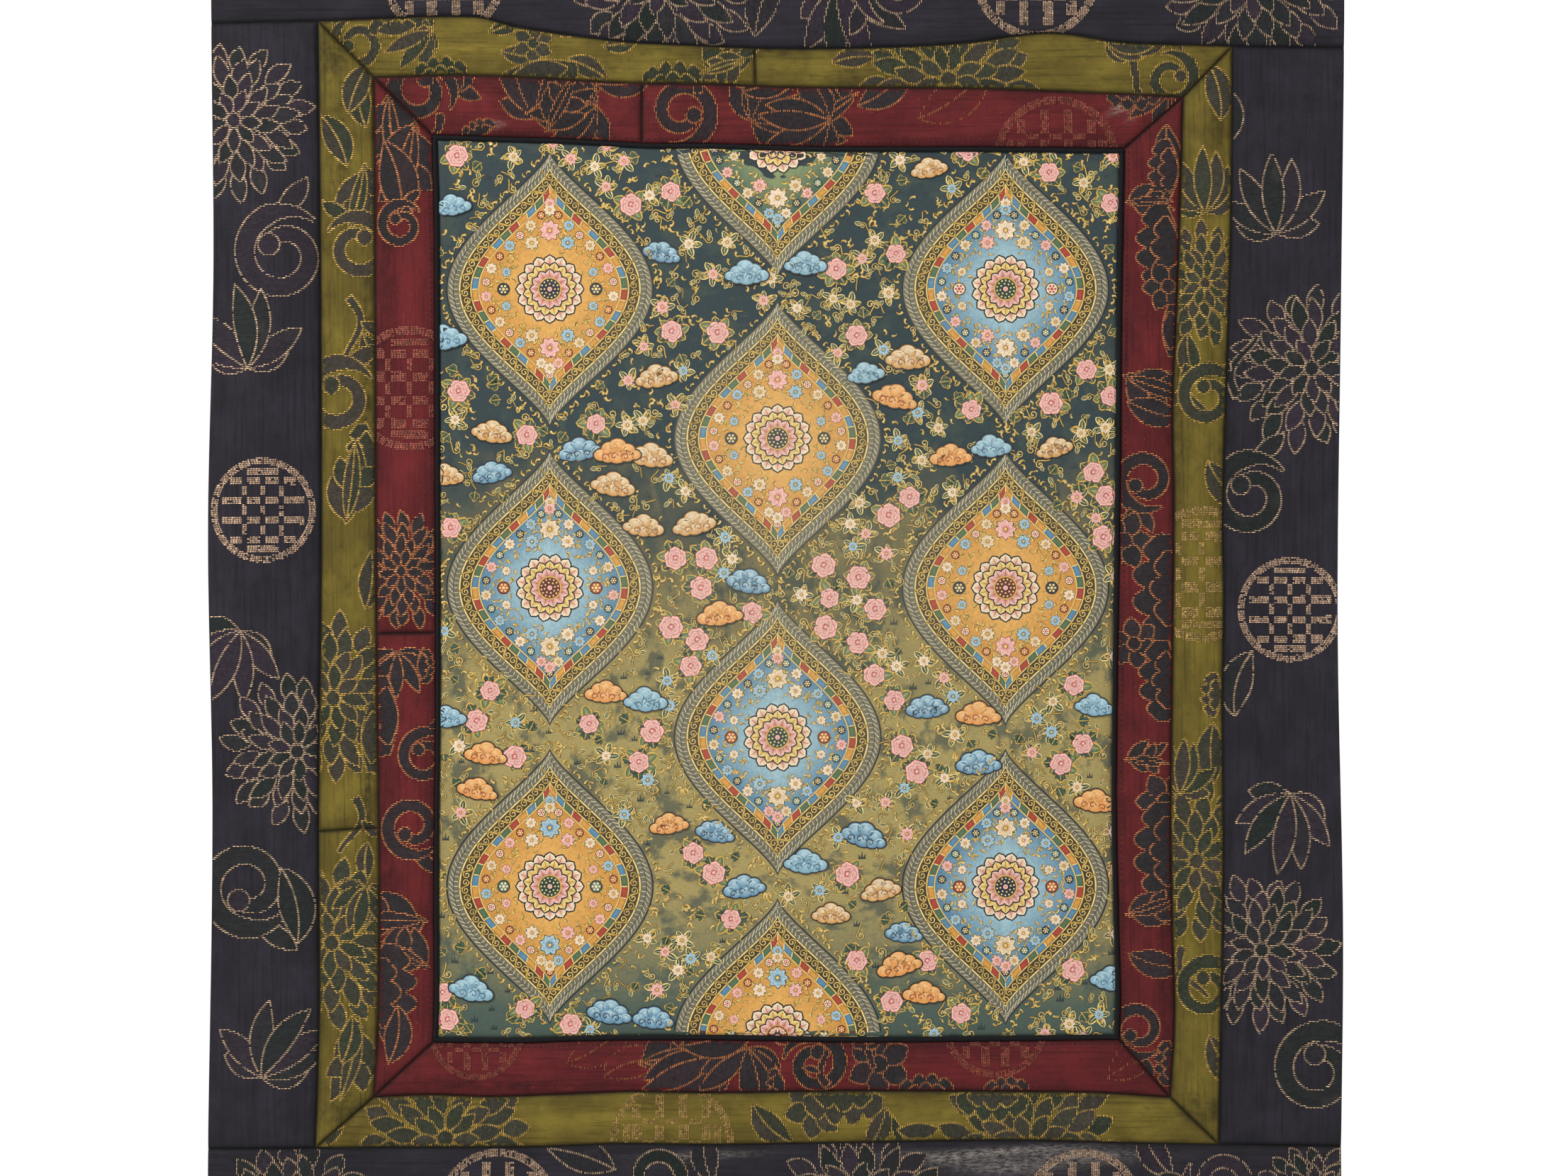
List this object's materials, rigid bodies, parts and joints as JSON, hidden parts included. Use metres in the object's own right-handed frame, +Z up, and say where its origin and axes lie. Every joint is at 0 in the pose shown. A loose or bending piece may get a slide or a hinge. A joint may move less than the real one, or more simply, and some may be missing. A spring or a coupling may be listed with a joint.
{
  "type": "thangka scroll painting",
  "caption": "Painted cloth panel edged with dark piping and framed in mitred maroon and olive brocade strips, sewn into a dark brocade hanging that is held by its top edge.",
  "frame": {"origin": "middle of the hanging's top edge, in its plane", "axes": "+Z up along the hanging, +X to the right seen from the front, and the painted face looks towards -Y"},
  "size_m": [0.602, 0.0121, 0.9469],
  "materials": {
    "painted_canvas": "painted cotton, slightly burnished, with gold linework",
    "piping_twill": "matt dark twill over cord",
    "maroon_brocade": "worn satin with copper-gold metal-thread figures",
    "olive_brocade": "worn satin with gold metal-thread figures",
    "navy_brocade": "worn satin with pale copper metal-thread figures"
  },
  "bodies": {
    "root": {"painting": "painted_canvas", "piping_top": "piping_twill", "piping_bottom": "piping_twill", "piping_left": "piping_twill", "piping_right": "piping_twill", "maroon_top_left": "maroon_brocade", "maroon_top_right": "maroon_brocade", "maroon_left_upper": "maroon_brocade", "maroon_left_lower": "maroon_brocade", "maroon_right": "maroon_brocade", "maroon_bottom": "maroon_brocade", "olive_top_left": "olive_brocade", "olive_top_right": "olive_brocade", "olive_left_upper": "olive_brocade", "olive_left_lower": "olive_brocade", "olive_right": "olive_brocade", "olive_bottom": "olive_brocade", "navy_top": "navy_brocade", "navy_bottom": "navy_brocade", "navy_left": "navy_brocade", "navy_right": "navy_brocade"}
  },
  "joints": []
}
